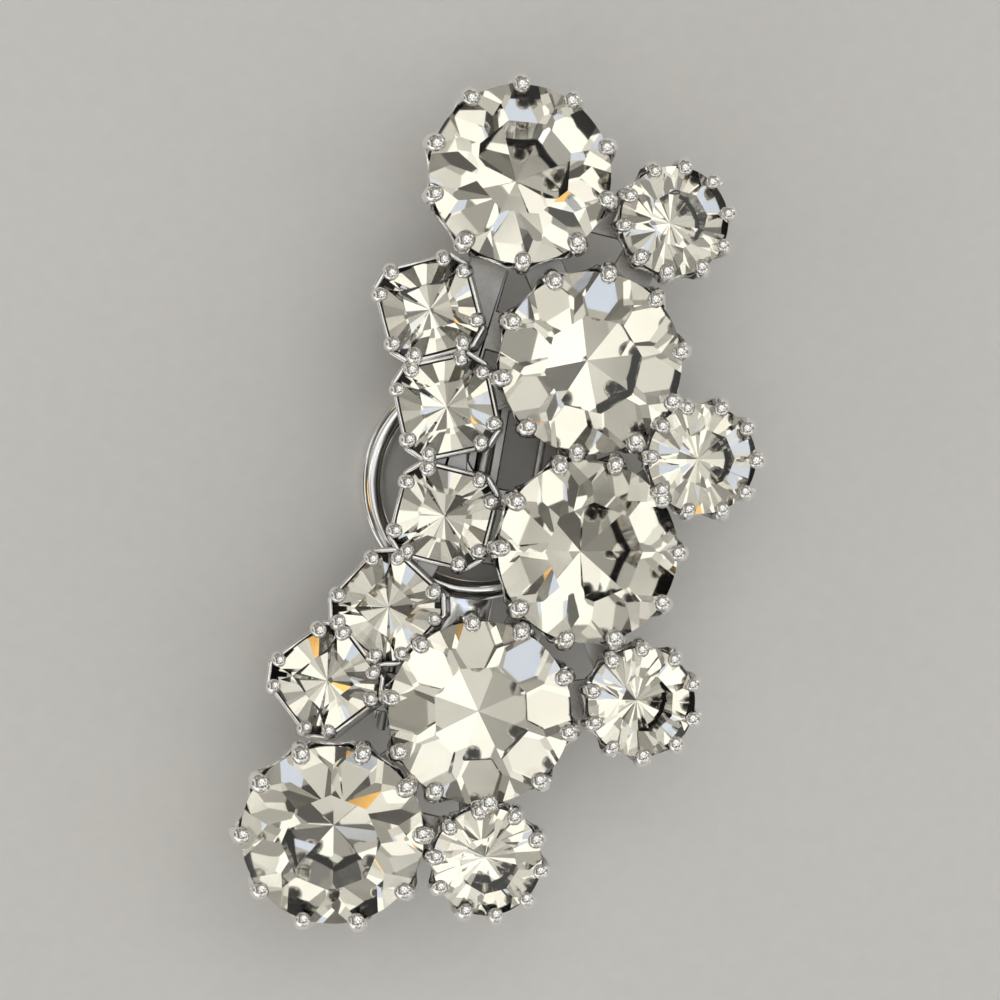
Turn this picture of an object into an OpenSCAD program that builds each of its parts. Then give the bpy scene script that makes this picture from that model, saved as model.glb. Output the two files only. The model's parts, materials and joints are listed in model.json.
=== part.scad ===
// Cluster earring with a hinged clip behind it, lying on the closed clip with its stones up.
// Origin: the centre of the clip's ring, on the surface that the earring lies on.
// +Z is up through the stones, +Y runs towards the top of the earring. All lengths in millimetres.

/* [Stones] */
// Diameter of a large round stone
large_d = 8; // [7.2:0.1:8.8]
// Diameter of a small round stone
small_d = 4.8; // [4.4:0.05:5.2]
// Width of a square stone
square_w = 3.9; // [3.5:0.05:4.3]
// Height of a crown over its girdle, as a share of the stone's width
crown_share = 0.17; // [0.14:0.01:0.2]
// Depth of a point under its girdle, as a share of the stone's width
point_share = 0.42; // [0.38:0.01:0.46]
// Width of a table, as a share of the stone's width
table_share = 0.5; // [0.44:0.01:0.56]
// Cut at the corners of a square stone, as a share of its width
corner_share = 0.15; // [0.12:0.01:0.2]
// Height of the girdle's edge
girdle_h = 0.12; // [0.08:0.01:0.2]

/* [Cups] */
// Wall of a cup
cup_wall = 0.25; // [0.2:0.01:0.32]
// Thickness of a cup's floor
cup_floor = 0.4; // [0.3:0.05:0.6]
// Radius of the hole in a cup's floor
floor_hole_r = 0.5; // [0.35:0.05:0.65]
// Radius of a round cup's foot, as a share of its stone's radius
foot_share = 0.52; // [0.46:0.01:0.6]
// Clear gap between a stone and its cup
stone_gap = 0.06; // [0.04:0.01:0.1]
// Clear gap between a stone's point and the floor of its cup
point_gap = 0.12; // [0.08:0.01:0.3]
// Clear gap between the edges of two stones that nest closely
seat_gap = 0.25; // [0.2:0.01:0.35]
// Extra height under a small round stone
small_rise = 0.75; // [0.5:0.05:1]
// Extra height under a square stone
square_rise = 0.8; // [0.5:0.05:1.1]
// Number of claws round a cup
claws = 10; // [8:1:12]
// Width of a claw at its top
claw_w = 0.55; // [0.45:0.05:0.65]
// Radius of the bead that a claw ends in
bead_r = 0.3; // [0.25:0.01:0.34]

/* [Back frame] */
// Thickness of the link bars
frame_t = 0.5; // [0.4:0.05:0.7]
// Width of a link bar
link_w = 1.8; // [1.4:0.1:2.2]
// Radius of the hole in the eyelet between the stones
eyelet_r = 2.15; // [1.8:0.05:2.4]
// Width of the eyelet's rim
eyelet_w = 0.8; // [0.6:0.05:1]
// How far the eyelet lies above the middle of the stones round it
eyelet_up = 0.8; // [0.5:0.1:1.1]
// Place of the middle stone across from the ring's centre
middle_x = 4.55; // [4:0.05:5]
// Place of the middle stone below the ring's centre
middle_down = 2.95; // [2.5:0.05:3.4]

/* [Clip] */
// Lean of the clip, clockwise from the earring's length
clip_lean = 10; // [6:1:14]
// Outer radius of the lever's ring
ring_r = 5.25; // [4.9:0.05:5.6]
// Width of the ring's band
band_w = 1; // [0.8:0.05:1.3]
// Thickness of the lever
lever_t = 0.9; // [0.75:0.05:1.1]
// Radius of the crown along the ring's band
band_crown_r = 0.8; // [0.7:0.05:1]
// Width of the lever's neck where it meets the ring
neck_w = 3.2; // [2.6:0.1:3.8]
// Distance from the ring's centre to the hinge
hinge_reach = 10.5; // [9.8:0.1:11.2]
// Width of the clip's base across its rails
base_w = 5.2; // [4.9:0.1:5.6]
// Distance from the ring's centre to the top of the base
base_top = 4.4; // [4:0.1:5]
// Thickness of the base's webs
base_t = 0.5; // [0.4:0.05:0.6]
// Thickness of a rail and of its ear
rail_t = 0.35; // [0.3:0.05:0.5]
// Depth of a rail under the webs
rail_drop = 0.4; // [0.3:0.05:0.5]
// Width of the webs across the base
web_w = 1; // [0.8:0.1:1.4]
// Width of the bar down the middle of the base
spine_w = 1.5; // [1.2:0.1:1.8]
// Radius of the ridge along that bar
ridge_r = 0.4; // [0.3:0.05:0.5]
// Width of the spring leaf over the hinge
leaf_w = 1.6; // [1.2:0.1:2]
// Radius of the lever's knuckle and of the ears
knuckle_r = 1; // [0.9:0.05:1.1]
// Radius of the hinge pin
pin_r = 0.4; // [0.35:0.01:0.45]
// Radius of the pin's heads
pin_head_r = 0.62; // [0.55:0.01:0.7]
// Thickness of a pin head
pin_head_t = 0.25; // [0.2:0.05:0.35]
// Clear gap round the pin
run_gap = 0.05; // [0.03:0.01:0.08]
// Clear gap beside the knuckle and under the pin's heads
side_gap = 0.1; // [0.06:0.01:0.15]
// Clear gap between the knuckle and the frame over it
heel_gap = 0.4; // [0.3:0.05:0.5]
// Height of the knuckle over the surface
knuckle_lift = 0.2; // [0.1:0.05:0.3]

/* [Hidden] */
$fn = 48;

// The large stones from the top down. The middle one stands beside none and carries the others.
// Columns: stone that it stands beside, gap to that one in seat gaps, heading from it,
// turn about its own axis, lean, and heading that it leans towards
CHAIN = [
    [1, 3.3, 110.4, 17, 10, 68],
    [2, 1.0, 89.2, 9, 5, -68],
    ["none", 0, 0, 0, 8, 0],
    [2, 1.9, -123.9, 25, 0, 0],
    [3, 1.5, -140.4, 0, 12, -105]
];

// The stones that nest between two others: the small ones down the outer side, the squares down the inner.
// Columns: kind, one neighbour, gap to it in seat gaps, other neighbour, gap to that one,
// turn about its own axis, lean, and heading that it leans towards
NESTED = [
    ["small", 0, 2.8, 1, 3.5, 8, 9, 25],
    ["small", 1, 0.3, 2, 0.3, 0, 6, 5],
    ["small", 2, 2.5, 3, 2.9, 20, 9, -20],
    ["small", 3, 0.6, 4, 2.0, -9, 8, -70],
    ["square", 1, 6.0, 10, 1.9, 14.5, 6, 150],
    ["square", 1, 2.5, 11, 3.6, 12, 4, 175],
    ["square", 2, 2.1, 12, 3.2, -14, 4, 185],
    ["square", 2, 12.6, 3, 0.7, 47, 6, 170],
    ["square", 12, 1.2, 3, 3.8, 37, 8, 160]
];
STONES = len(CHAIN) + len(NESTED);

// Row of a nested stone, kind of any stone, and its turn, lean and heading of the lean
function nested(i) = NESTED[i - len(CHAIN)];
function big(i) = i < len(CHAIN);
function kind(i) = big(i) ? "large" : nested(i)[0];
function turn(i) = big(i) ? CHAIN[i][3] : nested(i)[5];
function lean(i) = big(i) ? CHAIN[i][4] : nested(i)[6];
function toward(i) = big(i) ? CHAIN[i][5] : nested(i)[7];
function width(i) = kind(i) == "large" ? large_d : kind(i) == "small" ? small_d : square_w;
function rise(i) = kind(i) == "large" ? 0 : kind(i) == "small" ? small_rise : square_rise;
function half(i) = width(i) / 2;
function heading(a) = [cos(a), sin(a)];

// Distance between the centres of two stones that leave so many seat gaps between their edges
function apart(i, j, gaps) = half(i) + half(j) + gaps * seat_gap;

// Point at two given distances from a and b, on the left of the way from a to b or on its right
function meet(a, ra, b, rb, side) =
    let (
        way = b - a,
        d = norm(way),
        along = (ra * ra - rb * rb + d * d) / (2 * d),
        off = sqrt(ra * ra - along * along),
        e = way / d
    )
    a + along * e + side * off * [-e[1], e[0]];

// Centre of a stone's girdle, seen from above
function place(i) =
    big(i) && CHAIN[i][0] == "none" ? [middle_x, -middle_down]
    : big(i) ? place(CHAIN[i][0]) + apart(i, CHAIN[i][0], CHAIN[i][1]) * heading(CHAIN[i][2])
    : let (row = nested(i))
      meet(place(row[1]), apart(i, row[1], row[2]), place(row[3]), apart(i, row[3], row[4]),
           row[0] == "small" ? 1 : -1);

// Heights along a cup's own axis, from its foot
function point_h(i) = point_share * width(i);
function crown_h(i) = crown_share * width(i);
function seat_h(i) = cup_floor + point_gap + point_h(i) + girdle_h + rise(i);

// Heights of the frame, of the cups' feet and of the hinge
solder = 0.1;
pin_z = knuckle_lift + knuckle_r;
base_z = pin_z + knuckle_r + heel_gap;
frame_z = base_z + base_t - solder;
foot_z = frame_z + frame_t - 1.5 * solder;
knuckle_w = base_w - 2 * (rail_t + side_gap);
ring_in = ring_r - band_w;

// Stones whose edges are nearer than this many seat gaps are kept clear of each other's cups
near_gaps = 8;

// Where a cup's foot stands, seen from above
function foot(i) = place(i) - seat_h(i) * sin(lean(i)) * heading(toward(i));

// The crown's slope is one for all stones, because crown and table are shares of the width
crown_slope = atan(crown_share / (0.5 * (1 - table_share)));
// A bead's centre stands over the stone's edge, a gap clear of the crown
bead_in = bead_r / 5;
bead_up = (bead_r + stone_gap + bead_in * sin(crown_slope)) / cos(crown_slope);

// Puts what is drawn with its foot at the origin onto a stone's place, leaning as it does
module at_stone(i) {
    f = foot(i);
    translate([f[0], f[1], foot_z])
    rotate([0, 0, toward(i)])
    rotate([0, lean(i), 0])
    rotate([0, 0, turn(i) - toward(i)])
    children();
}

// Ring of points about the axis
function ring_points(r, n, start, z) =
    [for (k = [0:n - 1]) [r * cos(start + 360 * k / n), r * sin(start + 360 * k / n), z]];

// Eight points of a square with cut corners
function square_points(h, z) =
    let (s = h * (1 - 2 * corner_share))
    [for (k = [0:3], e = [-1, 1]) [
        h * cos(90 * k) - e * s * sin(90 * k),
        h * sin(90 * k) + e * s * cos(90 * k),
        z
    ]];

// Round stone with its girdle's top at the origin: an eight-sided table, a crown of eight
// four-sided and eight three-sided facets, a thin girdle and sixteen facets down to the point
module round_stone(r, up, down) {
    points = concat(
        ring_points(r * table_share, 8, 0, up),
        ring_points(r, 16, 11.25, 0),
        ring_points(r, 16, 11.25, -girdle_h),
        [[0, 0, -girdle_h - down]]
    );
    table = [[for (k = [7:-1:0]) k]];
    crown_four = [for (k = [0:7]) [k, (k + 1) % 8, 8 + 2 * k + 1, 8 + 2 * k]];
    crown_three = [for (k = [0:7]) [k, 8 + 2 * k, 8 + (2 * k + 15) % 16]];
    girdle = [for (j = [0:15]) [8 + j, 8 + (j + 1) % 16, 24 + (j + 1) % 16, 24 + j]];
    back = [for (j = [0:15]) [24 + j, 24 + (j + 1) % 16, 40]];
    polyhedron(points, concat(table, crown_four, crown_three, girdle, back), convexity = 2);
}

// Square stone with its girdle's top at the origin: a table and crown with cut corners, a thin
// girdle, and a back of eight facets round a shallower eight-sided point
module square_stone(h, up, down) {
    star_share = 0.42;
    points = concat(
        square_points(h * table_share, up),
        square_points(h, 0),
        square_points(h, -girdle_h),
        ring_points(h * star_share, 8, 0, -girdle_h - down * (1 - star_share * star_share)),
        [[0, 0, -girdle_h - down]]
    );
    table = [[for (k = [7:-1:0]) k]];
    crown = [for (k = [0:7]) [k, (k + 1) % 8, 8 + (k + 1) % 8, 8 + k]];
    girdle = [for (k = [0:7]) [8 + k, 8 + (k + 1) % 8, 16 + (k + 1) % 8, 16 + k]];
    edge = [for (k = [0:7]) [16 + k, 16 + (k + 1) % 8, 24 + k]];
    between = [for (k = [0:7]) [16 + (k + 1) % 8, 24 + (k + 1) % 8, 24 + k]];
    tip = [for (k = [0:7]) [24 + k, 24 + (k + 1) % 8, 32]];
    polyhedron(points, concat(table, crown, girdle, edge, between, tip), convexity = 2);
}

// Stone in its place
module stone(i) {
    color(kind(i) == "square" ? "gainsboro" : "whitesmoke")
    at_stone(i)
    translate([0, 0, seat_h(i)])
    if (kind(i) == "square") square_stone(half(i), crown_h(i), point_h(i));
    else round_stone(half(i), crown_h(i), point_h(i));
}

// Room that a stone needs, which the cups beside it are kept out of
module stone_room(i) {
    c = stone_gap / 2;
    r = half(i) + c;
    at_stone(i)
    if (kind(i) == "square")
        translate([0, 0, cup_floor])
        linear_extrude(seat_h(i) - cup_floor + crown_h(i))
        polygon([for (p = square_points(r, 0)) [p[0], p[1]]]);
    else
        translate([0, 0, seat_h(i)])
        rotate_extrude()
        polygon([
            [0, -girdle_h - point_h(i)], [r, -girdle_h - c], [r, c / cos(crown_slope)],
            [half(i) * table_share, crown_h(i) + c], [0, crown_h(i) + c]
        ]);
}

// Conical cup of a round stone, its rim scalloped into claws that each end in a bead
module round_cup(r, seat) {
    inside = r + stone_gap;
    outside = inside + cup_wall;
    foot_r = r * foot_share;
    shoulder = seat - 2 * girdle_h;
    top = seat + bead_up - bead_r / 4;
    pitch = 360 / claws;
    scallop_r = (2 * PI * inside / claws - claw_w) / 2;
    difference() {
        rotate_extrude()
        polygon([
            [floor_hole_r, 0], [foot_r, 0], [outside, shoulder], [outside, top],
            [inside, top], [inside, shoulder], [foot_r - cup_wall, cup_floor], [floor_hole_r, cup_floor]
        ]);
        for (k = [0:claws - 1])
            rotate([0, 90, (k + 0.5) * pitch])
            translate([-top, 0, inside - cup_wall])
            cylinder(r = scallop_r, h = 3 * cup_wall);
    }
    for (k = [0:claws - 1])
        rotate([0, 0, k * pitch])
        translate([r - bead_in, 0, seat + bead_up])
        sphere(bead_r);
}

// Box of a square stone with a thin wall, and two claws near the ends of each side
module square_cup(h, seat) {
    inside = h + stone_gap;
    outside = inside + cup_wall;
    claw_y = h * (1 - 2 * corner_share) - claw_w / 2;
    difference() {
        linear_extrude(seat)
        polygon([for (p = square_points(outside, 0)) [p[0], p[1]]]);
        translate([0, 0, cup_floor])
        linear_extrude(seat)
        polygon([for (p = square_points(inside, 0)) [p[0], p[1]]]);
        translate([0, 0, -cup_floor])
        cylinder(r = floor_hole_r, h = 3 * cup_floor);
    }
    for (k = [0:3], e = [-1, 1])
        rotate([0, 0, 90 * k])
        translate([0, e * claw_y, 0]) {
            translate([inside, -claw_w / 2, seat - claw_w])
            cube([cup_wall, claw_w, claw_w + bead_up - bead_r / 4]);
            translate([h - bead_in, 0, seat + bead_up])
            sphere(bead_r);
        }
}

// Cup of any stone, cut clear of the stones beside it
module cup(i) {
    difference() {
        at_stone(i)
        if (kind(i) == "square") square_cup(half(i), seat_h(i));
        else round_cup(half(i), seat_h(i));
        for (j = [0:STONES - 1])
            if (j != i && norm(place(i) - place(j)) < apart(i, j, near_gaps))
                stone_room(j);
    }
}

// Flat bar between the feet of two cups
module link_bar(i, j) {
    a = foot(i);
    way = foot(j) - a;
    translate([a[0], a[1], frame_z])
    rotate([0, 0, atan2(way[1], way[0])])
    translate([0, -link_w / 2, 0])
    cube([norm(way), link_w, frame_t]);
}

// All link bars: each stone to the stones that it stands near, and one long bar behind the top
module link_bars() {
    for (i = [0:len(CHAIN) - 1])
        if (CHAIN[i][0] != "none") link_bar(i, CHAIN[i][0]);
    for (i = [len(CHAIN):STONES - 1]) {
        if (nested(i)[2] < near_gaps) link_bar(i, nested(i)[1]);
        if (nested(i)[4] < near_gaps) link_bar(i, nested(i)[3]);
    }
    link_bar(10, 0);
}

// Round eyelet in the gap between two large stones and two squares
module eyelet() {
    middle = (place(1) + place(2) + place(10) + place(11)) / 4;
    translate([middle[0], middle[1] + eyelet_up, frame_z + solder / 2])
    difference() {
        cylinder(r = eyelet_r + eyelet_w, h = frame_t - solder);
        translate([0, 0, -frame_t])
        cylinder(r = eyelet_r, h = 3 * frame_t);
    }
}

// Clip base under the link bars: two rails that end in hinge ears, webs between them,
// a ridged spine and the spring leaf over the hinge
module clip_base() {
    rail_z = base_z - rail_drop;
    rail_h = rail_drop + base_t;
    rail_end = hinge_reach + knuckle_r;
    mid_web_y = -middle_down - web_w / 2;
    low_web_y = -(ring_r + hinge_reach) / 2;
    leaf_end = hinge_reach + knuckle_r / 2;
    difference() {
        union() {
            for (side = [-1, 1])
                translate([side * (base_w - rail_t) / 2 - rail_t / 2, 0, 0]) {
                    translate([0, -rail_end, rail_z])
                    cube([rail_t, base_top + rail_end, rail_h]);
                    translate([0, -rail_end, pin_z])
                    cube([rail_t, 2 * knuckle_r, base_z - pin_z]);
                    translate([0, -hinge_reach, pin_z])
                    rotate([0, 90, 0])
                    cylinder(r = knuckle_r, h = rail_t);
                }
            for (y = [base_top - web_w, mid_web_y, low_web_y])
                translate([-base_w / 2 + rail_t / 2, y, base_z])
                cube([base_w - rail_t, web_w, base_t]);
            translate([-spine_w / 2, mid_web_y + web_w / 2, base_z])
            cube([spine_w, base_top - mid_web_y - web_w, base_t]);
            translate([-leaf_w / 2, -leaf_end, base_z])
            cube([leaf_w, leaf_end + low_web_y + web_w / 2, base_t / 2]);
        }
        hinge_bore();
    }
    translate([0, mid_web_y + web_w / 2, base_z + base_t - ridge_r / 4])
    rotate([-90, 0, 0])
    cylinder(r = ridge_r, h = base_top - mid_web_y - web_w);
}

// Bore along the hinge, for the knuckle and the ears
module hinge_bore() {
    translate([-base_w, -hinge_reach, pin_z])
    rotate([0, 90, 0])
    cylinder(r = pin_r + run_gap, h = 2 * base_w);
}

// All soldered metal in one piece: the cups, the bars that link them and the clip's base
module settings() {
    color("silver") {
        for (i = [0:STONES - 1])
            cup(i);
        link_bars();
        eyelet();
        rotate([0, 0, -clip_lean])
        clip_base();
    }
}

// Lever of the clip: a crowned flat ring, its neck, and the knuckle that turns on the pin
module clip_lever() {
    color("lightsteelblue")
    rotate([0, 0, -clip_lean])
    difference() {
        union() {
            rotate_extrude($fn = 96)
            intersection() {
                translate([ring_in, 0])
                square([band_w, lever_t]);
                translate([ring_r - band_w / 2, lever_t - band_crown_r])
                circle(band_crown_r);
            }
            linear_extrude(lever_t * 0.8)
            polygon([
                [-neck_w / 2, band_w / 2 - ring_r], [-knuckle_w / 2, -hinge_reach],
                [knuckle_w / 2, -hinge_reach], [neck_w / 2, band_w / 2 - ring_r]
            ]);
            translate([-knuckle_w / 2, -hinge_reach, pin_z])
            rotate([0, 90, 0])
            cylinder(r = knuckle_r, h = knuckle_w);
        }
        hinge_bore();
    }
}

// Hinge pin with a flat head at each end
module hinge_pin() {
    shaft = base_w + 2 * side_gap;
    color("gray")
    rotate([0, 0, -clip_lean])
    translate([0, -hinge_reach, pin_z])
    rotate([0, 90, 0]) {
        cylinder(r = pin_r, h = shaft + pin_head_t, center = true);
        for (side = [-1, 1])
            translate([0, 0, side * (shaft + pin_head_t) / 2])
            cylinder(r = pin_head_r, h = pin_head_t, center = true);
    }
}

settings();
clip_lever();
hinge_pin();
stone(0);  // large_stone_1
stone(1);  // large_stone_2
stone(2);  // large_stone_3
stone(3);  // large_stone_4
stone(4);  // large_stone_5
stone(5);  // small_stone_1
stone(6);  // small_stone_2
stone(7);  // small_stone_3
stone(8);  // small_stone_4
stone(9);  // square_stone_1
stone(10);  // square_stone_2
stone(11);  // square_stone_3
stone(12);  // square_stone_4
stone(13);  // square_stone_5
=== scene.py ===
import json
import math
import random

import bmesh
import bpy
from mathutils import Matrix, Vector
from mathutils.geometry import delaunay_2d_cdt


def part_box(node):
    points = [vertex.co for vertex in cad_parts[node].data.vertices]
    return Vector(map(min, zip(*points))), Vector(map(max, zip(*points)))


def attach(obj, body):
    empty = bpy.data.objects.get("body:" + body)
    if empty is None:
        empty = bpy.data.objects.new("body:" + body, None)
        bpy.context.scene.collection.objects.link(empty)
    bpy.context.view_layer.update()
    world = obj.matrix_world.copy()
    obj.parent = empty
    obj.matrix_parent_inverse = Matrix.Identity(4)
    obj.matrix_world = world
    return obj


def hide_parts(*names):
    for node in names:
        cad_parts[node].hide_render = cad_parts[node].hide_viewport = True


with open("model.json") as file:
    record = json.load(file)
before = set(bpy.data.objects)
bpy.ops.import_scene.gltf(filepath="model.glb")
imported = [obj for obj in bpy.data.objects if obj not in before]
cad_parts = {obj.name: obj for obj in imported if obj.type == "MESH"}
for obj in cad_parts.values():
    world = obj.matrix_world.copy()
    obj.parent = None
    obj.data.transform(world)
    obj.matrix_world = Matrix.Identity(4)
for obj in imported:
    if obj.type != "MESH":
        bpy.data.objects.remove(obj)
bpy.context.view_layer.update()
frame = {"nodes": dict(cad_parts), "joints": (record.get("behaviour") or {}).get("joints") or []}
MM = 0.001

# Camera: hangs almost straight over the earring, a little to the left, as the photograph was taken.
# The field is about 44 mm tall, so the earring fills most of the picture.
camera = bpy.data.objects.new("camera", bpy.data.cameras.new("camera"))
bpy.context.scene.collection.objects.link(camera)
bpy.context.scene.camera = camera
stand = Vector((-0.0114, 0.0005, 0.28))
looked_at = Vector((0.0008, -0.0007, 0.005))
away = (stand - looked_at).normalized()
right = Vector((0, 1, 0)).cross(away).normalized()
turned_to = Matrix((right, away.cross(right), away)).transposed().to_4x4()
camera.matrix_world = Matrix.Translation(stand) @ turned_to
camera.data.sensor_width = 36
camera.data.lens = 225
camera.data.clip_start = 0.01

# Floor: a plain pale board of pressed paper with a slight tooth, much wider than the picture.
# The class and the four functions ahead of it are how this and every later material is written.
class Shade:
    """A shader socket that can be added to, taken from and multiplied like a number."""

    def __init__(self, socket):
        self.socket = socket
        self.tree = socket.id_data

    def worked_out(self, operation, first, second):
        return shader_node(self.tree, "ShaderNodeMath", {"operation": operation}, {0: first, 1: second})

    def __add__(self, other):
        return self.worked_out("ADD", self, other)

    def __radd__(self, other):
        return self.worked_out("ADD", other, self)

    def __sub__(self, other):
        return self.worked_out("SUBTRACT", self, other)

    def __rsub__(self, other):
        return self.worked_out("SUBTRACT", other, self)

    def __mul__(self, other):
        return self.worked_out("MULTIPLY", self, other)

    def clamped(self):
        return shader_node(self.tree, "ShaderNodeClamp", {}, {0: self})


def set_inputs(node, inputs):
    """Sets the inputs of a node to values, or links them where a Shade is given."""
    for name, value in inputs.items():
        if isinstance(value, Shade):
            value.tree.links.new(value.socket, node.inputs[name])
        else:
            node.inputs[name].default_value = value


def shader_node(tree, kind, settings, inputs, output=0):
    """Adds a node with its settings first, then its inputs, and returns one of its outputs."""
    made = tree.nodes.new(kind)
    for name, value in settings.items():
        setattr(made, name, value)
    set_inputs(made, inputs)
    return Shade(made.outputs[output])


def mixed(tree, share, low, high):
    """Colour between two others; the colour sockets of the Mix node are its seventh and eighth."""
    return shader_node(tree, "ShaderNodeMix", {"data_type": "RGBA"}, {0: share, 6: low, 7: high}, 2)


def new_material(name):
    """Returns a material, its node tree and its Principled node."""
    material = bpy.data.materials.new(name)
    material.use_nodes = True
    return material, material.node_tree, material.node_tree.nodes["Principled BSDF"]


bpy.ops.mesh.primitive_plane_add(size=1.2)
floor = bpy.context.object
floor.name = "floor"
floor_material, tree, principled = new_material("pale_board")
spot = shader_node(tree, "ShaderNodeTexCoord", {}, {}, "Object")
tooth = shader_node(tree, "ShaderNodeTexNoise", {}, {"Vector": spot, "Scale": 1300.0, "Detail": 4.0})
set_inputs(principled, {
    "Base Color": mixed(tree, tooth, (0.87, 0.865, 0.855, 1), (0.93, 0.925, 0.915, 1)),
    "Roughness": tooth * 0.1 + 0.8,
    "Normal": shader_node(
        tree, "ShaderNodeBump", {}, {"Strength": 0.2, "Distance": 0.05 * MM, "Height": tooth}
    ),
})
floor.data.materials.append(floor_material)

# Light: a soft studio, drawn as a sky of broad panels from white to dark grey, each varied by finer ones,
# which the cut glass and the polished metal mirror. A few small warm and cool ones stand for the fire that
# cut glass splits from light.
BROAD = 3.2
FINER = 5.5
SMALL = 8.5
FINER_SHARE = 0.5
BRIGHTNESS = [(0.0, 0.08), (0.25, 0.15), (0.45, 0.32), (0.7, 0.62), (0.86, 0.92), (1.0, 1.45)]
WARM_ABOVE = 0.99
COOL_BELOW = 0.012
SHARP_EDGE = 200.0


def panels(tree, around, scale, channel):
    """A number from 0 to 1 for each panel of the sky; the larger `scale` is, the finer the panels."""
    cells = shader_node(
        tree, "ShaderNodeTexVoronoi", {"feature": "F1"},
        {"Vector": around, "Scale": scale, "Randomness": 1.0}, 1,
    )
    return shader_node(tree, "ShaderNodeSeparateColor", {}, {0: cells}, channel)


world = bpy.data.worlds.new("studio")
bpy.context.scene.world = world
world.use_nodes = True
tree = world.node_tree
around = shader_node(tree, "ShaderNodeTexCoord", {}, {})
tone = (panels(tree, around, BROAD, 0) + (panels(tree, around, FINER, 1) - 0.5) * FINER_SHARE).clamped()
pick = panels(tree, around, SMALL, 0)
greys = shader_node(tree, "ShaderNodeValToRGB", {}, {0: tone})
stops = greys.socket.node.color_ramp.elements
while len(stops) < len(BRIGHTNESS):
    stops.new(0.5)
for stop, (position, value) in zip(stops, BRIGHTNESS):
    stop.position = position
    stop.color = (value, value * (0.965 + 0.025 * position), value * (0.885 + 0.055 * position), 1)
warm = ((pick - WARM_ABOVE) * SHARP_EDGE).clamped()
cool = ((COOL_BELOW - pick) * SHARP_EDGE).clamped()
with_warm = mixed(tree, warm, greys, (1.7, 1.0, 0.3, 1))
set_inputs(tree.nodes["Background"], {"Color": mixed(tree, cool, with_warm, (0.84, 0.93, 1.14, 1))})
bpy.context.scene.view_settings.view_transform = "Standard"

# Stones: cut and polished crystal glass with a silver foil fired on behind, each dropped into its cup.
# Every stone is cut from a round or square blank, one plane for each facet, as a lapidary does.
# A stone and its cup are turned together, by the degrees that the photograph shows.
TURNS = {
    "large_stone_1": 17, "large_stone_2": 9, "large_stone_3": 0, "large_stone_4": 25, "large_stone_5": 0,
    "small_stone_1": 8, "small_stone_2": 0, "small_stone_3": 20, "small_stone_4": -9,
    "square_stone_1": 14.5, "square_stone_2": 12, "square_stone_3": -14, "square_stone_4": 47,
    "square_stone_5": 37,
}
TABLE_SHARE = 0.5
GIRDLE = 0.12 * MM
CORNER_SHARE = 0.15
SPREAD = 11
SPREAD_FLATTER = 0.3
CORNER_FLATTER = 4.3
MAIN_FLATTER = 1
EDGE_STEEPER = 4
CROWN_STEEPER = 6
CLEAR = 0
FOILED = 1


def stone_place(name, turn):
    """Matrix at the top of the girdle, with Z up the stone, and its half width, crown height and depth."""
    corners = {tuple(round(c, 7) for c in v.co) for v in frame["nodes"][name].data.vertices}
    corners = [Vector(c) for c in corners]
    point = min(corners, key=lambda c: c.z)
    others = [c for c in corners if c != point]
    up = (sum(others, Vector()) / len(others) - point).normalized()
    tilt = Vector((0, 0, 1)).rotation_difference(up)
    across = tilt @ Vector((math.cos(math.radians(turn)), math.sin(math.radians(turn)), 0))
    axes = Matrix((across, up.cross(across), up)).transposed()
    local = [axes.transposed() @ (c - point) for c in corners]
    wide = max(math.hypot(c.x, c.y) for c in local)
    girdle = max(c.z for c in local if math.hypot(c.x, c.y) > 0.99 * wide)
    half = wide if "square" not in name else max(abs(c.x) for c in local)
    place = Matrix.Translation(point + up * girdle) @ axes.to_4x4()
    return place, half, max(c.z for c in local) - girdle, girdle


def facet(bm, azimuth, slope, through, finish):
    """Cuts off all beyond a plane that leans `slope` from level and runs through (distance out, height)."""
    a = math.radians(azimuth)
    s = math.radians(slope)
    normal = Vector((math.cos(a) * math.sin(s), math.sin(a) * math.sin(s), math.cos(s)))
    point = Vector((through[0] * math.cos(a), through[0] * math.sin(a), through[1]))
    geometry = bm.verts[:] + bm.edges[:] + bm.faces[:]
    cut = bmesh.ops.bisect_plane(
        bm, geom=geometry, dist=1e-7, plane_co=point, plane_no=normal, clear_outer=True
    )
    edges = [e for e in cut["geom_cut"] if isinstance(e, bmesh.types.BMEdge)]
    if len(edges) < 3:
        return
    for face in bmesh.ops.contextual_create(bm, geom=edges)["faces"]:
        face.material_index = finish


def cut_stone(name, place, sides, half, tiers, table_h):
    """A blank with `sides` sides, cut by tiers of (count, first azimuth, slope, through, finish)."""
    bm = bmesh.new()
    bmesh.ops.create_cone(bm, cap_ends=True, segments=sides, radius1=half, radius2=half, depth=4 * half)
    for count, first, slope, through, finish in tiers:
        for k in range(count):
            facet(bm, first + 360 * k / count, slope, through, finish)
    facet(bm, 0, 0, (0, table_h), CLEAR)
    bm.normal_update()
    for face in bm.faces:
        if abs(face.normal.z) < 0.05:
            face.material_index = FOILED
    mesh = bpy.data.meshes.new(name)
    bm.to_mesh(mesh)
    bm.free()
    mesh.transform(place)
    stone = bpy.data.objects.new(name, mesh)
    bpy.context.scene.collection.objects.link(stone)
    mesh.materials.append(crystal)
    mesh.materials.append(foil)
    return stone


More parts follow.
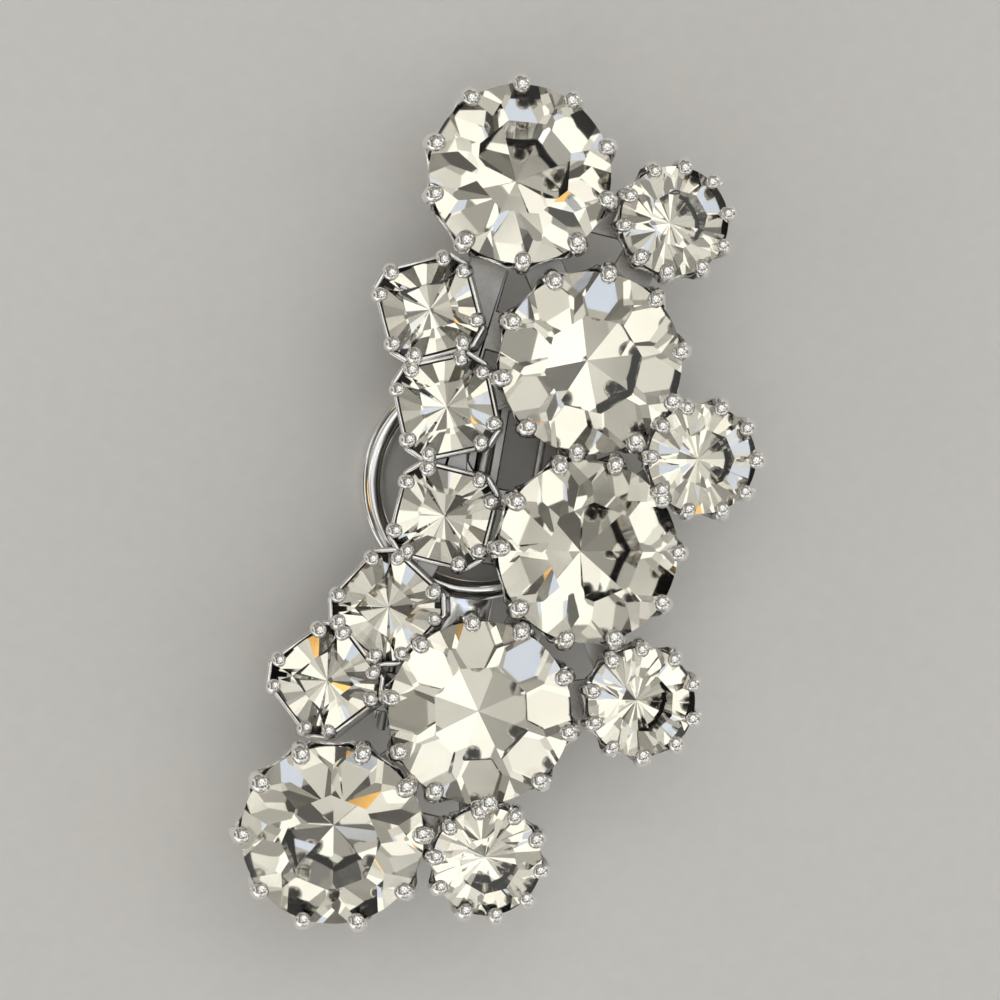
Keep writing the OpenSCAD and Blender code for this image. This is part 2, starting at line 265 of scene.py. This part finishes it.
crystal, tree, principled = new_material("crystal_glass")
spot = shader_node(tree, "ShaderNodeTexCoord", {}, {}, "Object")
smears = shader_node(tree, "ShaderNodeTexNoise", {}, {"Vector": spot, "Scale": 700.0, "Detail": 3.0})
set_inputs(principled, {
    "Base Color": mixed(tree, smears, (1, 1, 0.97, 1), (1, 1, 0.98, 1)),
    "Roughness": ((smears - 0.56) * 0.25).clamped(), "IOR": 1.55, "Transmission Weight": 1.0,
})
foil, tree, principled = new_material("silver_foil")
spot = shader_node(tree, "ShaderNodeTexCoord", {}, {}, "Object")
tarnish = shader_node(tree, "ShaderNodeTexNoise", {}, {"Vector": spot, "Scale": 320.0, "Detail": 4.0})
set_inputs(principled, {
    "Base Color": mixed(tree, tarnish, (0.93, 0.915, 0.88, 1), (0.87, 0.855, 0.81, 1)),
    "Metallic": 1.0, "Roughness": tarnish * 0.06 + 0.01,
})

seats = {}
for name, turn in TURNS.items():
    place, half, crown, depth = stone_place(name, turn)
    seats[name] = (place, half, depth)
    bezel = math.degrees(math.atan(crown / (half - half * TABLE_SHARE)))
    under = 180 - math.degrees(math.atan((depth - GIRDLE) / half))
    point = (0, -depth)
    rim = (half, 0)
    if "square" in name:
        corner = (half * (2 - 2 * CORNER_SHARE) / math.sqrt(2), 0)
        tiers = [
            (4, 0, 90, rim, FOILED),
            (4, 45, 90, corner, FOILED),
            (4, 0, under, point, FOILED),
            (4, SPREAD, under + SPREAD_FLATTER, point, FOILED),
            (4, -SPREAD, under + SPREAD_FLATTER, point, FOILED),
            (4, 45, under + CORNER_FLATTER, point, FOILED),
            (4, 0, bezel, rim, CLEAR),
            (4, 45, bezel, corner, CLEAR),
        ]
        stone = cut_stone(name + "_glass", place, 32, half * 1.3, tiers, crown)
    else:
        if "small" in name:
            tiers = [(16, 11.25, under, point, FOILED)]
        else:
            tiers = [
                (8, 22.5, under + MAIN_FLATTER, point, FOILED),
                (8, 0, under - EDGE_STEEPER, (half, -GIRDLE), FOILED),
            ]
        tiers += [(8, 22.5, bezel, rim, CLEAR), (8, 0, bezel + CROWN_STEEPER, rim, CLEAR)]
        stone = cut_stone(name + "_glass", place, 64, half, tiers, crown)
    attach(stone, "earring")
    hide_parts(name)
    "square_stones" if "square" in name else "round_stones"

# Cups of the round stones: each is cast as a thin cone on a small foot. Its rim is scalloped between ten
# claws, ribs on the outside that grow wider upwards and are pressed over the edge of the glass.
CUP_FLOOR = 0.4 * MM
POINT_GAP = 0.12 * MM
CUP_GAP = 0.06 * MM
CUP_WALL = 0.25 * MM
RISE = {"large": 0.0, "small": 0.75 * MM, "square": 0.8 * MM}
HOLE_R = 0.5 * MM
FOOT_SHARE = 0.52
SHOULDER_DROP = 0.24 * MM
SHOULDER_STEP = 0.2 * MM
RIM_OVER_SEAT = 0.38 * MM
RIM_BETWEEN = 0.5 * MM
SCALLOP_DEEP = 1.2 * MM
ROUND_EDGE = 0.07 * MM
CLAWS = 10
CLAW_SIZE = {"large": 1.25, "small": 1.05, "square": 1.05}
CLAW_SIZE_SPREAD = (0.9, 1.08)
CLAW_STRAYS = 2.5


def metal(name, bright, tarnish_and_painted_shade, low, high, polish):
    """Plated metal, `bright` over the height `high`; darkened to the second colour under `low` as painted
    shade, and in clouded patches as tarnish.
    """
    material, tree, principled = new_material(name)
    spot = shader_node(tree, "ShaderNodeTexCoord", {}, {}, "Object")
    height = shader_node(tree, "ShaderNodeSeparateXYZ", {}, {"Vector": spot}, "Z")
    clouds = shader_node(
        tree, "ShaderNodeTexNoise", {}, {"Vector": spot, "Scale": 420.0, "Detail": 5.0, "Roughness": 0.6}
    )
    grain = shader_node(tree, "ShaderNodeTexNoise", {}, {"Vector": spot, "Scale": 2600.0, "Detail": 3.0})
    # Painted shade: the colour darkens from the height `high` down to `low`. The noise clouds darken it
    # further as tarnish.
    out_of_painted_shade = ((height - low) * (1.0 / (high - low))).clamped()
    clean_and_unshaded = (out_of_painted_shade * 1.1 + 0.45 - clouds * 0.9).clamped()
    bump = shader_node(
        tree, "ShaderNodeBump", {},
        {"Strength": 0.3, "Distance": 0.012 * MM, "Height": clouds + grain * 0.2},
    )
    set_inputs(principled, {
        "Base Color": mixed(tree, clean_and_unshaded, tarnish_and_painted_shade, bright), "Metallic": 1.0,
        "Roughness": polish + (1.0 - clean_and_unshaded) * 0.22 + grain * 0.06, "Normal": bump,
    })
    return material


def loft(bm, rings, looped):
    """Skins a row of closed rings of points. A row that isn't looped gets a face over each end."""
    rows = [[bm.verts.new(point) for point in ring] for ring in rings]
    count = len(rows[0])
    pairs = list(zip(rows, rows[1:]))
    if looped:
        pairs.append((rows[-1], rows[0]))
    else:
        bm.faces.new(rows[0])
        bm.faces.new(rows[-1])
    for one, other in pairs:
        for k in range(count):
            bm.faces.new((one[k], one[(k + 1) % count], other[(k + 1) % count], other[k]))


def made_of(bm, name, place, material, node="settings", body="earring"):
    """Turns what was modelled into a piece of metal that stands for a CAD node and rides on a body."""
    bmesh.ops.recalc_face_normals(bm, faces=bm.faces)
    mesh = bpy.data.meshes.new(name)
    bm.to_mesh(mesh)
    bm.free()
    mesh.transform(place)
    mesh.shade_smooth()
    mesh.set_sharp_from_angle(angle=math.radians(50))
    mesh.materials.append(material)
    piece = bpy.data.objects.new(name, mesh)
    bpy.context.scene.collection.objects.link(piece)
    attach(piece, body)
    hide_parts(node)
    return piece


def seat_height(name, depth):
    """Height of a stone's girdle over the bottom of its cup."""
    return CUP_FLOOR + POINT_GAP + depth + RISE[name.split("_")[0]]


def between(table, at):
    """Value at a height, read off a table of (height, value) with straight stretches."""
    for (low, first), (high, second) in zip(table, table[1:]):
        if at <= high:
            return first + (second - first) * (at - low) / (high - low)
    return table[-1][1]


def curve_between(p, q, r, s, t):
    """Number a share `t` of the way from q to r, on a smooth curve through p, q, r and s."""
    bend = 2 * p - 5 * q + 4 * r - s
    twist = 3 * q - p - 3 * r + s
    return 0.5 * (2 * q + (r - p) * t + bend * t * t + twist * t ** 3)


def smoothed(points, steps):
    """Rows of numbers with a smooth curve run through them, `steps` rows for each stretch."""
    rows = []
    ends = [points[0]] + points + [points[-1]]
    for stretch in zip(ends, ends[1:], ends[2:], ends[3:]):
        for k in range(steps):
            rows.append([curve_between(*numbers, k / steps) for numbers in zip(*stretch)])
    return rows + [points[-1]]


def claw(bm, azimuth, aside, path):
    """Oval rod along a path of (distance out, height, half width, half thickness) in an upright plane."""
    turn = Matrix.Rotation(math.radians(azimuth), 3, "Z")
    rows = smoothed(path, 3)
    rings = []
    for k, (out, high, wide, thick) in enumerate(rows):
        before = rows[max(k - 1, 0)]
        after = rows[min(k + 1, len(rows) - 1)]
        slope = math.atan2(after[1] - before[1], after[0] - before[0])
        ring = []
        for j in range(12):
            a = 2 * math.pi * j / 12
            off = thick * math.cos(a)
            ring.append(turn @ Vector((
                out - off * math.sin(slope), aside + wide * math.sin(a), high + off * math.cos(slope)
            )))
        rings.append(ring)
    loft(bm, rings, looped=False)


def claw_path(half, outside, seat, shoulder, size):
    """Path of a claw: up the outside of the cup, over the edge of the glass and down onto its crown."""
    return [
        (between(outside, 0.35 * seat) - 0.04 * MM, 0.35 * seat, 0.1 * MM, 0.05 * MM),
        (between(outside, 0.65 * seat), 0.65 * seat, 0.16 * MM, 0.1 * MM),
        (between(outside, shoulder), shoulder, 0.22 * MM * size, 0.13 * MM),
        (between(outside, shoulder) - 0.02 * MM, seat + 0.12 * MM, 0.26 * MM * size, 0.16 * MM * size),
        (half + 0.15 * MM, seat + 0.4 * MM, 0.3 * MM * size, 0.2 * MM * size),
        (half - 0.08 * MM, seat + 0.5 * MM, 0.32 * MM * size, 0.22 * MM * size),
        (half - 0.28 * MM * size, seat + 0.51 * MM, 0.24 * MM * size, 0.15 * MM * size),
        (half - 0.38 * MM * size, seat + 0.49 * MM, 0.08 * MM, 0.05 * MM),
    ]


def wall_section(outside, inside, top):
    """Section of a cup's wall and floor, as (distance out, height), with its rim at `top`."""
    rows = 9
    edge = ROUND_EDGE
    up = [(between(outside, top * k / rows), top * k / rows) for k in range(rows)]
    up[0] = (up[0][0] - edge, 0)
    rim = [
        (between(outside, top), top - edge), (between(outside, top) - 0.3 * edge, top - 0.3 * edge),
        (between(outside, top) - edge, top), (between(inside, top) + edge, top),
        (between(inside, top) + 0.3 * edge, top - 0.3 * edge), (between(inside, top), top - edge),
    ]
    deep = top - CUP_FLOOR
    down = [
        (between(inside, CUP_FLOOR + deep * k / 4), CUP_FLOOR + deep * k / 4) for k in (3, 2, 1, 0)
    ]
    foot_edge = (up[0][0] + 0.7 * edge, 0.3 * edge)
    return [foot_edge] + up[1:] + rim + down + [(HOLE_R, CUP_FLOOR), (HOLE_R, 0), up[0]]


chance = random.Random(11)
# The cups' darker colour is painted shade towards their feet, from 6.2 mm down to 3.6 mm, and tarnish in
# clouded patches.
cup_plating = metal(
    "cup_plating", (0.96, 0.955, 0.94, 1), (0.3, 0.285, 0.26, 1), 3.6 * MM, 6.2 * MM, 0.15
)
for name, (place, half, depth) in seats.items():
    if name.startswith("square"):
        continue
    seat = seat_height(name, depth)
    inner = half + CUP_GAP
    outer = inner + CUP_WALL
    foot_r = FOOT_SHARE * half
    shoulder = seat - SHOULDER_DROP
    top = seat + RIM_OVER_SEAT
    outside = [(0, foot_r), (shoulder, outer), (2 * seat, outer)]
    inside = [(CUP_FLOOR, foot_r - CUP_WALL), (shoulder - SHOULDER_STEP, inner), (2 * seat, inner)]
    pitch = 2 * math.pi / CLAWS
    scallop_r = (pitch * inner - RIM_BETWEEN) / 2
    columns = []
    for k in range(CLAWS):
        columns.append((k * pitch, top))
        for j in range(13):
            a = math.pi * j / 12
            columns.append((
                (k + 0.5) * pitch - scallop_r / inner * math.cos(a), top - SCALLOP_DEEP * math.sin(a)
            ))
    bm = bmesh.new()
    loft(bm, [
        [(out * math.cos(a), out * math.sin(a), z) for out, z in wall_section(outside, inside, rim)]
        for a, rim in columns
    ], looped=True)
    size_of_claw = CLAW_SIZE[name.split("_")[0]]
    for k in range(CLAWS):
        claw(
            bm, 360 * k / CLAWS + chance.uniform(-CLAW_STRAYS, CLAW_STRAYS), 0,
            claw_path(half, outside, seat, shoulder, size_of_claw * chance.uniform(*CLAW_SIZE_SPREAD)),
        )
    made_of(bm, name.replace("stone", "cup"), place @ Matrix.Translation((0, 0, -seat)), cup_plating)

# Cups of the square stones: a thin box with its corners cut off, its rim dipping between the claws.
# Two claws stand near the ends of each side and hold the corners of the glass.
BOX_GAP = 0.03 * MM
BOX_WALL = 0.19 * MM
BOX_TAPER = 0.1 * MM
TAPER_H = 0.3 * MM
RIM_UNDER_SEAT = 0.02 * MM
RIM_DIP = 0.15 * MM
CLAW_INWARD = 0.25 * MM
CLAW_SHOULDER = 0.2 * MM
CLAW_SHIFTS = 0.08 * MM
for name, (place, half, depth) in seats.items():
    if not name.startswith("square"):
        continue
    seat = seat_height(name, depth)
    inner = half + BOX_GAP
    outer = inner + BOX_WALL
    outside = [(0, outer - BOX_TAPER), (TAPER_H, outer), (2 * seat, outer)]
    inside = [(CUP_FLOOR, inner), (2 * seat, inner)]
    straight = 1 - 2 * CORNER_SHARE
    corners = []
    for k in range(4):
        a = math.pi / 2 * k
        for end in (-1, 1):
            across = end * straight
            corners.append(Vector((
                math.cos(a) - across * math.sin(a), math.sin(a) + across * math.cos(a)
            )))
    columns = []
    for k, (corner, following) in enumerate(zip(corners, corners[1:] + corners[:1])):
        pieces = 14 if k % 2 == 0 else 4
        for j in range(pieces):
            share = j / pieces
            dip = math.sin(math.pi * share) ** 2 if k % 2 == 0 else 0
            columns.append((corner.lerp(following, share), seat - RIM_UNDER_SEAT - RIM_DIP * dip))
    bm = bmesh.new()
    loft(bm, [
        [(out * q.x, out * q.y, z) for out, z in wall_section(outside, inside, rim)]
        for q, rim in columns
    ], looped=True)
    claw_y = half * straight - CLAW_INWARD
    for k in range(4):
        for end in (-1, 1):
            claw(
                bm, 90 * k, end * claw_y + chance.uniform(-CLAW_SHIFTS, CLAW_SHIFTS),
                claw_path(
                    half, outside, seat, seat - CLAW_SHOULDER,
                    CLAW_SIZE["square"] * chance.uniform(*CLAW_SIZE_SPREAD),
                ),
            )
    made_of(bm, name.replace("stone", "cup"), place @ Matrix.Translation((0, 0, -seat)), cup_plating)

# Back frame: flat bars cut from strip, laid from foot to foot, painted darker than the cups as shade.
# The solder that holds them has run out round each foot. An eyelet of strip closes the gap in the middle of
# the cluster.
BAR_T = 0.5 * MM
BAR_W = 1.8 * MM
BAR_EDGE = 0.08 * MM
PAD_R = 1.08 * MM
SUNK = 0.15 * MM
BARS = [
    ("large_stone_1", "large_stone_2"), ("large_stone_2", "large_stone_3"),
    ("large_stone_3", "large_stone_4"), ("large_stone_4", "large_stone_5"),
    ("small_stone_1", "large_stone_1"), ("small_stone_1", "large_stone_2"),
    ("small_stone_2", "large_stone_2"), ("small_stone_2", "large_stone_3"),
    ("small_stone_3", "large_stone_3"), ("small_stone_3", "large_stone_4"),
    ("small_stone_4", "large_stone_4"), ("small_stone_4", "large_stone_5"),
    ("square_stone_1", "large_stone_2"), ("square_stone_1", "square_stone_2"),
    ("square_stone_2", "large_stone_2"), ("square_stone_2", "square_stone_3"),
    ("square_stone_3", "large_stone_3"), ("square_stone_3", "square_stone_4"),
    ("square_stone_4", "large_stone_4"), ("square_stone_5", "square_stone_4"),
    ("square_stone_5", "large_stone_4"), ("square_stone_2", "large_stone_1"),
]
SOLDER_R = {"large": 1.5 * MM, "small": 1.14 * MM, "square": 1.42 * MM}
SOLDER_T = 0.24 * MM
SOLDER_DROP = 0.2 * MM
EYELET_R = 2.15 * MM
EYELET_W = 0.8 * MM
EYELET_INSET = 0.05 * MM
EYELET_EDGE = 0.1 * MM
EYELET_UP = 0.8 * MM
EYELET_OF = ("large_stone_2", "large_stone_3", "square_stone_2", "square_stone_3")
LEVEL = Vector((1, 1, 0))


def strip_section(half_w, low, high, edge):
    """Corners of a flat strip's section, as (across, height), with its edges rounded."""
    corners = []
    for x, z, sx, sz in (
        (half_w, low, 1, -1), (half_w, high, 1, 1), (-half_w, high, -1, 1), (-half_w, low, -1, -1)
    ):
        rounding = [
            (x - sx * edge, z), (x - sx * 0.3 * edge, z - sz * 0.3 * edge), (x, z - sz * edge)
        ]
        corners += rounding[::-1] if sx * sz > 0 else rounding
    return corners


def bar_outline(a, b, half_w):
    """Four corners of a straight bar from a to b, counterclockwise as seen from above."""
    way = ((b - a) * LEVEL).normalized() * half_w
    return [
        (a.x + way.y, a.y - way.x), (b.x + way.y, b.y - way.x),
        (b.x - way.y, b.y + way.x), (a.x - way.y, a.y + way.x),
    ]


def pad_outline(at, radius):
    """Round pad about a point, counterclockwise as seen from above."""
    return [
        (at.x + radius * math.cos(2 * math.pi * k / 28), at.y + radius * math.sin(2 * math.pi * k / 28))
        for k in range(28)
    ]


def stamped(bm, outlines, low, high):
    """One flat sheet in the joined outline of shapes that run counterclockwise, between two heights."""
    points = []
    shapes = []
    for outline in outlines:
        shapes.append(list(range(len(points), len(points) + len(outline))))
        points += [Vector(point) / MM for point in outline]
    corners, _, faces, _, _, covered_by = delaunay_2d_cdt(points, [], shapes, 0, 1e-4, True)
    lower = [bm.verts.new((c.x * MM, c.y * MM, low)) for c in corners]
    upper = [bm.verts.new((c.x * MM, c.y * MM, high)) for c in corners]
    kept = [face for face, shape in zip(faces, covered_by) if shape]
    ways = {(face[k - 1], face[k]) for face in kept for k in range(len(face))}
    for face in kept:
        bm.faces.new([lower[k] for k in face])
        bm.faces.new([upper[k] for k in reversed(face)])
    for one, other in ways:
        if (other, one) not in ways:
            bm.faces.new((lower[one], lower[other], upper[other], upper[one]))
    bmesh.ops.delete(bm, geom=[v for v in bm.verts if not v.link_faces], context="VERTS")
    bmesh.ops.remove_doubles(bm, verts=bm.verts, dist=0.015 * MM)
    bmesh.ops.dissolve_limit(bm, angle_limit=math.radians(2), verts=bm.verts, edges=bm.edges)


def rounded(piece, width):
    """Rounds over the sharp edges of a stamped piece."""
    edge = piece.modifiers.new("rounded", "BEVEL")
    edge.width = width
    edge.segments = 3
    edge.limit_method = "ANGLE"
    edge.angle_limit = math.radians(50)
    edge.use_clamp_overlap = False
    edge.harden_normals = True


def hoop(bm, middle_r, section, count):
    """Ring of a section given as (distance out from its middle radius, height)."""
    rings = []
    for k in range(count):
        a = 2 * math.pi * k / count
        rings.append([((middle_r + x) * math.cos(a), (middle_r + x) * math.sin(a), z) for x, z in section])
    loft(bm, rings, looped=True)


# The back frame's colours are painted shade: darker than the cups throughout, darker still lower down, with
# clouded tarnish.
back_plating_in_painted_shade = metal(
    "back_plating_in_painted_shade", (0.55, 0.54, 0.52, 1), (0.17, 0.16, 0.15, 1), 1.0 * MM, 5.5 * MM, 0.14
)
# The solder has its own duller grey. It is darkened lower down as painted shade and clouded with tarnish.
dull_solder = metal("dull_solder", (0.6, 0.59, 0.57, 1), (0.33, 0.32, 0.3, 1), 1.0 * MM, 4.5 * MM, 0.3)
feet = {}
for name, (place, half, depth) in seats.items():
    feet[name] = place @ Vector((0, 0, -seat_height(name, depth)))
bar_top = feet["large_stone_1"].z + SUNK
bar_low = bar_top - BAR_T
bm = bmesh.new()
stamped(
    bm,
    [bar_outline(feet[one], feet[other], BAR_W / 2) for one, other in BARS]
    + [pad_outline(foot, PAD_R) for foot in feet.values()],
    bar_low, bar_top,
)
bars = made_of(bm, "link_bars", Matrix(), back_plating_in_painted_shade)
rounded(bars, BAR_EDGE)

for name, foot in feet.items():
    bm = bmesh.new()
    bmesh.ops.create_icosphere(bm, subdivisions=4, radius=1)
    spread = SOLDER_R[name.split("_")[0]]
    for vertex in bm.verts:
        a = math.atan2(vertex.co.y, vertex.co.x)
        run = spread * (1 + 0.06 * math.sin(3 * a + foot.x / MM) + 0.05 * math.sin(5 * a + foot.y / MM))
        vertex.co = Vector((vertex.co.x * run, vertex.co.y * run, vertex.co.z * SOLDER_T))
    spot = Matrix.Translation(foot * LEVEL + Vector((0, 0, bar_top - SOLDER_DROP)))
    made_of(bm, name.replace("stone", "solder"), spot, dull_solder)

eyelet_at = sum((seats[name][0].translation for name in EYELET_OF), Vector()) / len(EYELET_OF)
eyelet_at = (eyelet_at + Vector((0, EYELET_UP, 0))) * LEVEL
bm = bmesh.new()
hoop(
    bm, EYELET_R + EYELET_W / 2,
    strip_section(EYELET_W / 2, bar_low + EYELET_INSET, bar_top - EYELET_INSET, EYELET_EDGE), 64,
)
made_of(bm, "eyelet", Matrix.Translation(eyelet_at), back_plating_in_painted_shade)

# Clip base: two rails with hinge ears, three webs, a ridged bar down the middle and a leaf spring.
# All are pressed from sheet and soldered under the bars.
hinge = frame["joints"][0]
pin_at = Vector(hinge["pos_m"])
across = -Vector(hinge["axis"]).normalized()
clip = Matrix((across, Vector((0, 0, 1)).cross(across), (0, 0, 1))).transposed().to_4x4()
REACH = math.hypot(pin_at.x, pin_at.y)
RING_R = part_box("clip_lever")[1].x
KNUCKLE_R = 1.0 * MM
BASE_W = 5.2 * MM
BASE_TOP = 4.4 * MM
BASE_T = 0.5 * MM
BASE_OVERLAP = 0.1 * MM
RAIL_T = 0.35 * MM
RAIL_DROP = 0.4 * MM
RAIL_EDGE = 0.06 * MM
RAIL_UNDER_BASE = 0.02 * MM
RAIL_CORNER = 0.2 * MM
EAR_BLEND_W = 0.25 * MM
EAR_BLEND_H = 0.1 * MM
WEB_W = 1.0 * MM
WEB_EDGE = 0.08 * MM
SPINE_W = 1.5 * MM
RIDGE_R = 0.4 * MM
LEAF_W = 1.6 * MM
LEAF_INSET = 0.04 * MM
base_low = bar_low + BASE_OVERLAP - BASE_T
mid_web = -2.95 * MM
low_web = -(RING_R + REACH) / 2 + WEB_W / 2


def pressed(bm, outline, low, high, edge):
    """Sheet of an outline of (x, y) points, between two heights, its edges rounded over."""
    count = len(outline)
    inward = []
    for k, (x, y) in enumerate(outline):
        before = Vector(outline[k - 1])
        after = Vector(outline[(k + 1) % count])
        here = Vector((x, y))
        one = (here - before).normalized()
        two = (after - here).normalized()
        normal = Vector((-(one.y + two.y), one.x + two.x))
        bend = max(0.5, normal.length / 2)
        inward.append(normal.normalized() / bend)
    rings = []
    for share, z in (
        (1, low), (0.3, low + 0.3 * edge), (0, low + edge),
        (0, high - edge), (0.3, high - 0.3 * edge), (1, high),
    ):
        rings.append([
            (x + way.x * edge * share, y + way.y * edge * share, z)
            for (x, y), way in zip(outline, inward)
        ])
    loft(bm, rings, looped=False)


rail_low = base_low - RAIL_DROP
rail_high = base_low + BASE_T - RAIL_UNDER_BASE
rail = [
    (-REACH - KNUCKLE_R * math.cos(math.radians(a)), pin_at.z - KNUCKLE_R * math.sin(math.radians(a)))
    for a in range(0, 181, 15)
] + [
    (-REACH + KNUCKLE_R, rail_low - EAR_BLEND_H), (-REACH + KNUCKLE_R + EAR_BLEND_W, rail_low),
    (BASE_TOP - RAIL_CORNER, rail_low), (BASE_TOP, rail_low + RAIL_CORNER),
    (BASE_TOP, rail_high), (-REACH - KNUCKLE_R, rail_high),
]
upright = Matrix(((0, 0, 1, 0), (1, 0, 0, 0), (0, 1, 0, 0), (0, 0, 0, 1)))
bm = bmesh.new()
for side in (-1, 1):
    earlier = set(bm.verts)
    pressed(bm, rail, 0, RAIL_T, RAIL_EDGE)
    aside = Matrix.Translation((side * (BASE_W - RAIL_T) / 2 - RAIL_T / 2, 0, 0))
    bmesh.ops.transform(bm, matrix=aside @ upright, verts=[v for v in bm.verts if v not in earlier])
made_of(bm, "rails", clip, back_plating_in_painted_shade)

half_base = BASE_W / 2 - RAIL_T / 2
bm = bmesh.new()
stamped(
    bm,
    [
        bar_outline(Vector((-half_base, y, 0)), Vector((half_base, y, 0)), WEB_W / 2)
        for y in (BASE_TOP - WEB_W / 2, mid_web, low_web)
    ]
    + [bar_outline(Vector((0, mid_web, 0)), Vector((0, BASE_TOP - WEB_W / 2, 0)), SPINE_W / 2)],
    base_low, base_low + BASE_T,
)
webs = made_of(bm, "webs", clip, back_plating_in_painted_shade)
rounded(webs, WEB_EDGE)

leaf = [(LEAF_W / 2, low_web), (-LEAF_W / 2, low_web)]
for k in range(1, 8):
    a = math.pi * k / 8
    leaf.append((-LEAF_W / 2 * math.cos(a), -REACH - KNUCKLE_R / 2 + LEAF_W / 2 * (1 - math.sin(a))))
bm = bmesh.new()
stamped(bm, [leaf], base_low + LEAF_INSET, base_low + BASE_T / 2)
spring = made_of(bm, "spring_leaf", clip, back_plating_in_painted_shade)
rounded(spring, LEAF_INSET)

ridge = [
    (RIDGE_R * math.cos(2 * math.pi * k / 24), RIDGE_R * math.sin(2 * math.pi * k / 24)) for k in range(24)
]
bm = bmesh.new()
loft(bm, [
    [(x, y, base_low + BASE_T - RIDGE_R / 4 + z) for x, z in ridge]
    for y in (mid_web + WEB_W / 2, BASE_TOP - WEB_W)
], looped=False)
made_of(bm, "ridge", clip, back_plating_in_painted_shade)

# Lever of the clip: a flat ring with a crowned face, stamped in one with its neck, which ends in a
# rolled knuckle round the hinge pin. It is the best polished metal, as it lies on the ear.
BAND_W = 1.0 * MM
LEVER_T = 0.9 * MM
LEVER_EDGE = 0.08 * MM
CROWNED = 0.18 * MM
CROWN_SHARE = 0.98
SIDE_DROP = 0.06 * MM
NECK_W = 3.2 * MM
NECK_WAIST = 0.25 * MM
NECK_LOW = 0.03 * MM
NECK_SHARE = 0.8
KNUCKLE_GAP = 0.1 * MM
KNUCKLE_W = BASE_W - 2 * (RAIL_T + KNUCKLE_GAP)
ROLL = [
    (-1, 0.86), (-0.985, 0.96), (-0.955, 1.0), (-0.3, 1.0), (-0.285, 0.95), (-0.27, 1.0),
    (0.27, 1.0), (0.285, 0.95), (0.3, 1.0), (0.955, 1.0), (0.985, 0.96), (1, 0.86),
]


def turned(bm, profile, sides):
    """Round bar along the hinge's line, from a profile of (distance along, radius)."""
    angles = [2 * math.pi * k / sides for k in range(sides)]
    loft(bm, [
        [(x, -REACH + r * math.cos(a), pin_at.z + r * math.sin(a)) for a in angles] for x, r in profile
    ], looped=False)


# The lever's darker colour is tarnish in clouded patches, and painted shade that deepens from 0.2 mm down
# to -1 mm.
lever_polish = metal(
    "lever_polish", (0.92, 0.915, 0.9, 1), (0.5, 0.49, 0.47, 1), -1.0 * MM, 0.2 * MM, 0.07
)
half_w = BAND_W / 2
band = [(half_w - LEVER_EDGE, 0), (half_w - 0.3 * LEVER_EDGE, 0.3 * LEVER_EDGE), (half_w, LEVER_EDGE)]
for k in range(9):
    a = 1 - k / 4
    side_drop = SIDE_DROP if abs(a) == 1 else 0
    band.append((half_w * a * CROWN_SHARE, LEVER_T - CROWNED * a * a - side_drop))
band += [(-half_w, LEVER_EDGE), (-half_w + 0.3 * LEVER_EDGE, 0.3 * LEVER_EDGE), (-half_w + LEVER_EDGE, 0)]
bm = bmesh.new()
hoop(bm, RING_R - half_w, band, 128)
neck = []
for side in (1, -1):
    rim = []
    for k in range(9):
        share = k / 8
        wide = NECK_W / 2 + (KNUCKLE_W - NECK_W) / 2 * share - NECK_WAIST * math.sin(math.pi * share)
        rim.append((side * wide, half_w - RING_R - (REACH - RING_R + half_w) * share))
    neck += rim if side == -1 else rim[::-1]
pressed(bm, neck, NECK_LOW, NECK_SHARE * LEVER_T, LEVER_EDGE)
turned(bm, [(x * KNUCKLE_W / 2, r * KNUCKLE_R) for x, r in ROLL], 40)
made_of(bm, "lever", clip, lever_polish, "clip_lever", "lever")

# Hinge pin: a short rod through ears and knuckle, its ends hammered to low domed heads.
PIN_R = 0.4 * MM
HEAD_R = 0.62 * MM
HEAD_T = 0.25 * MM
HEAD_GAP = 0.1 * MM
shaft = BASE_W / 2 + HEAD_GAP
head = [
    (shaft, PIN_R), (shaft, 0.95 * HEAD_R), (shaft + 0.2 * HEAD_T, HEAD_R),
    (shaft + 0.55 * HEAD_T, 0.54 * MM), (shaft + 0.88 * HEAD_T, 0.35 * MM), (shaft + HEAD_T, 0.12 * MM),
]
bm = bmesh.new()
turned(bm, [(-x, r) for x, r in reversed(head)] + head, 32)
made_of(bm, "pin", clip, lever_polish, "hinge_pin", "earring")
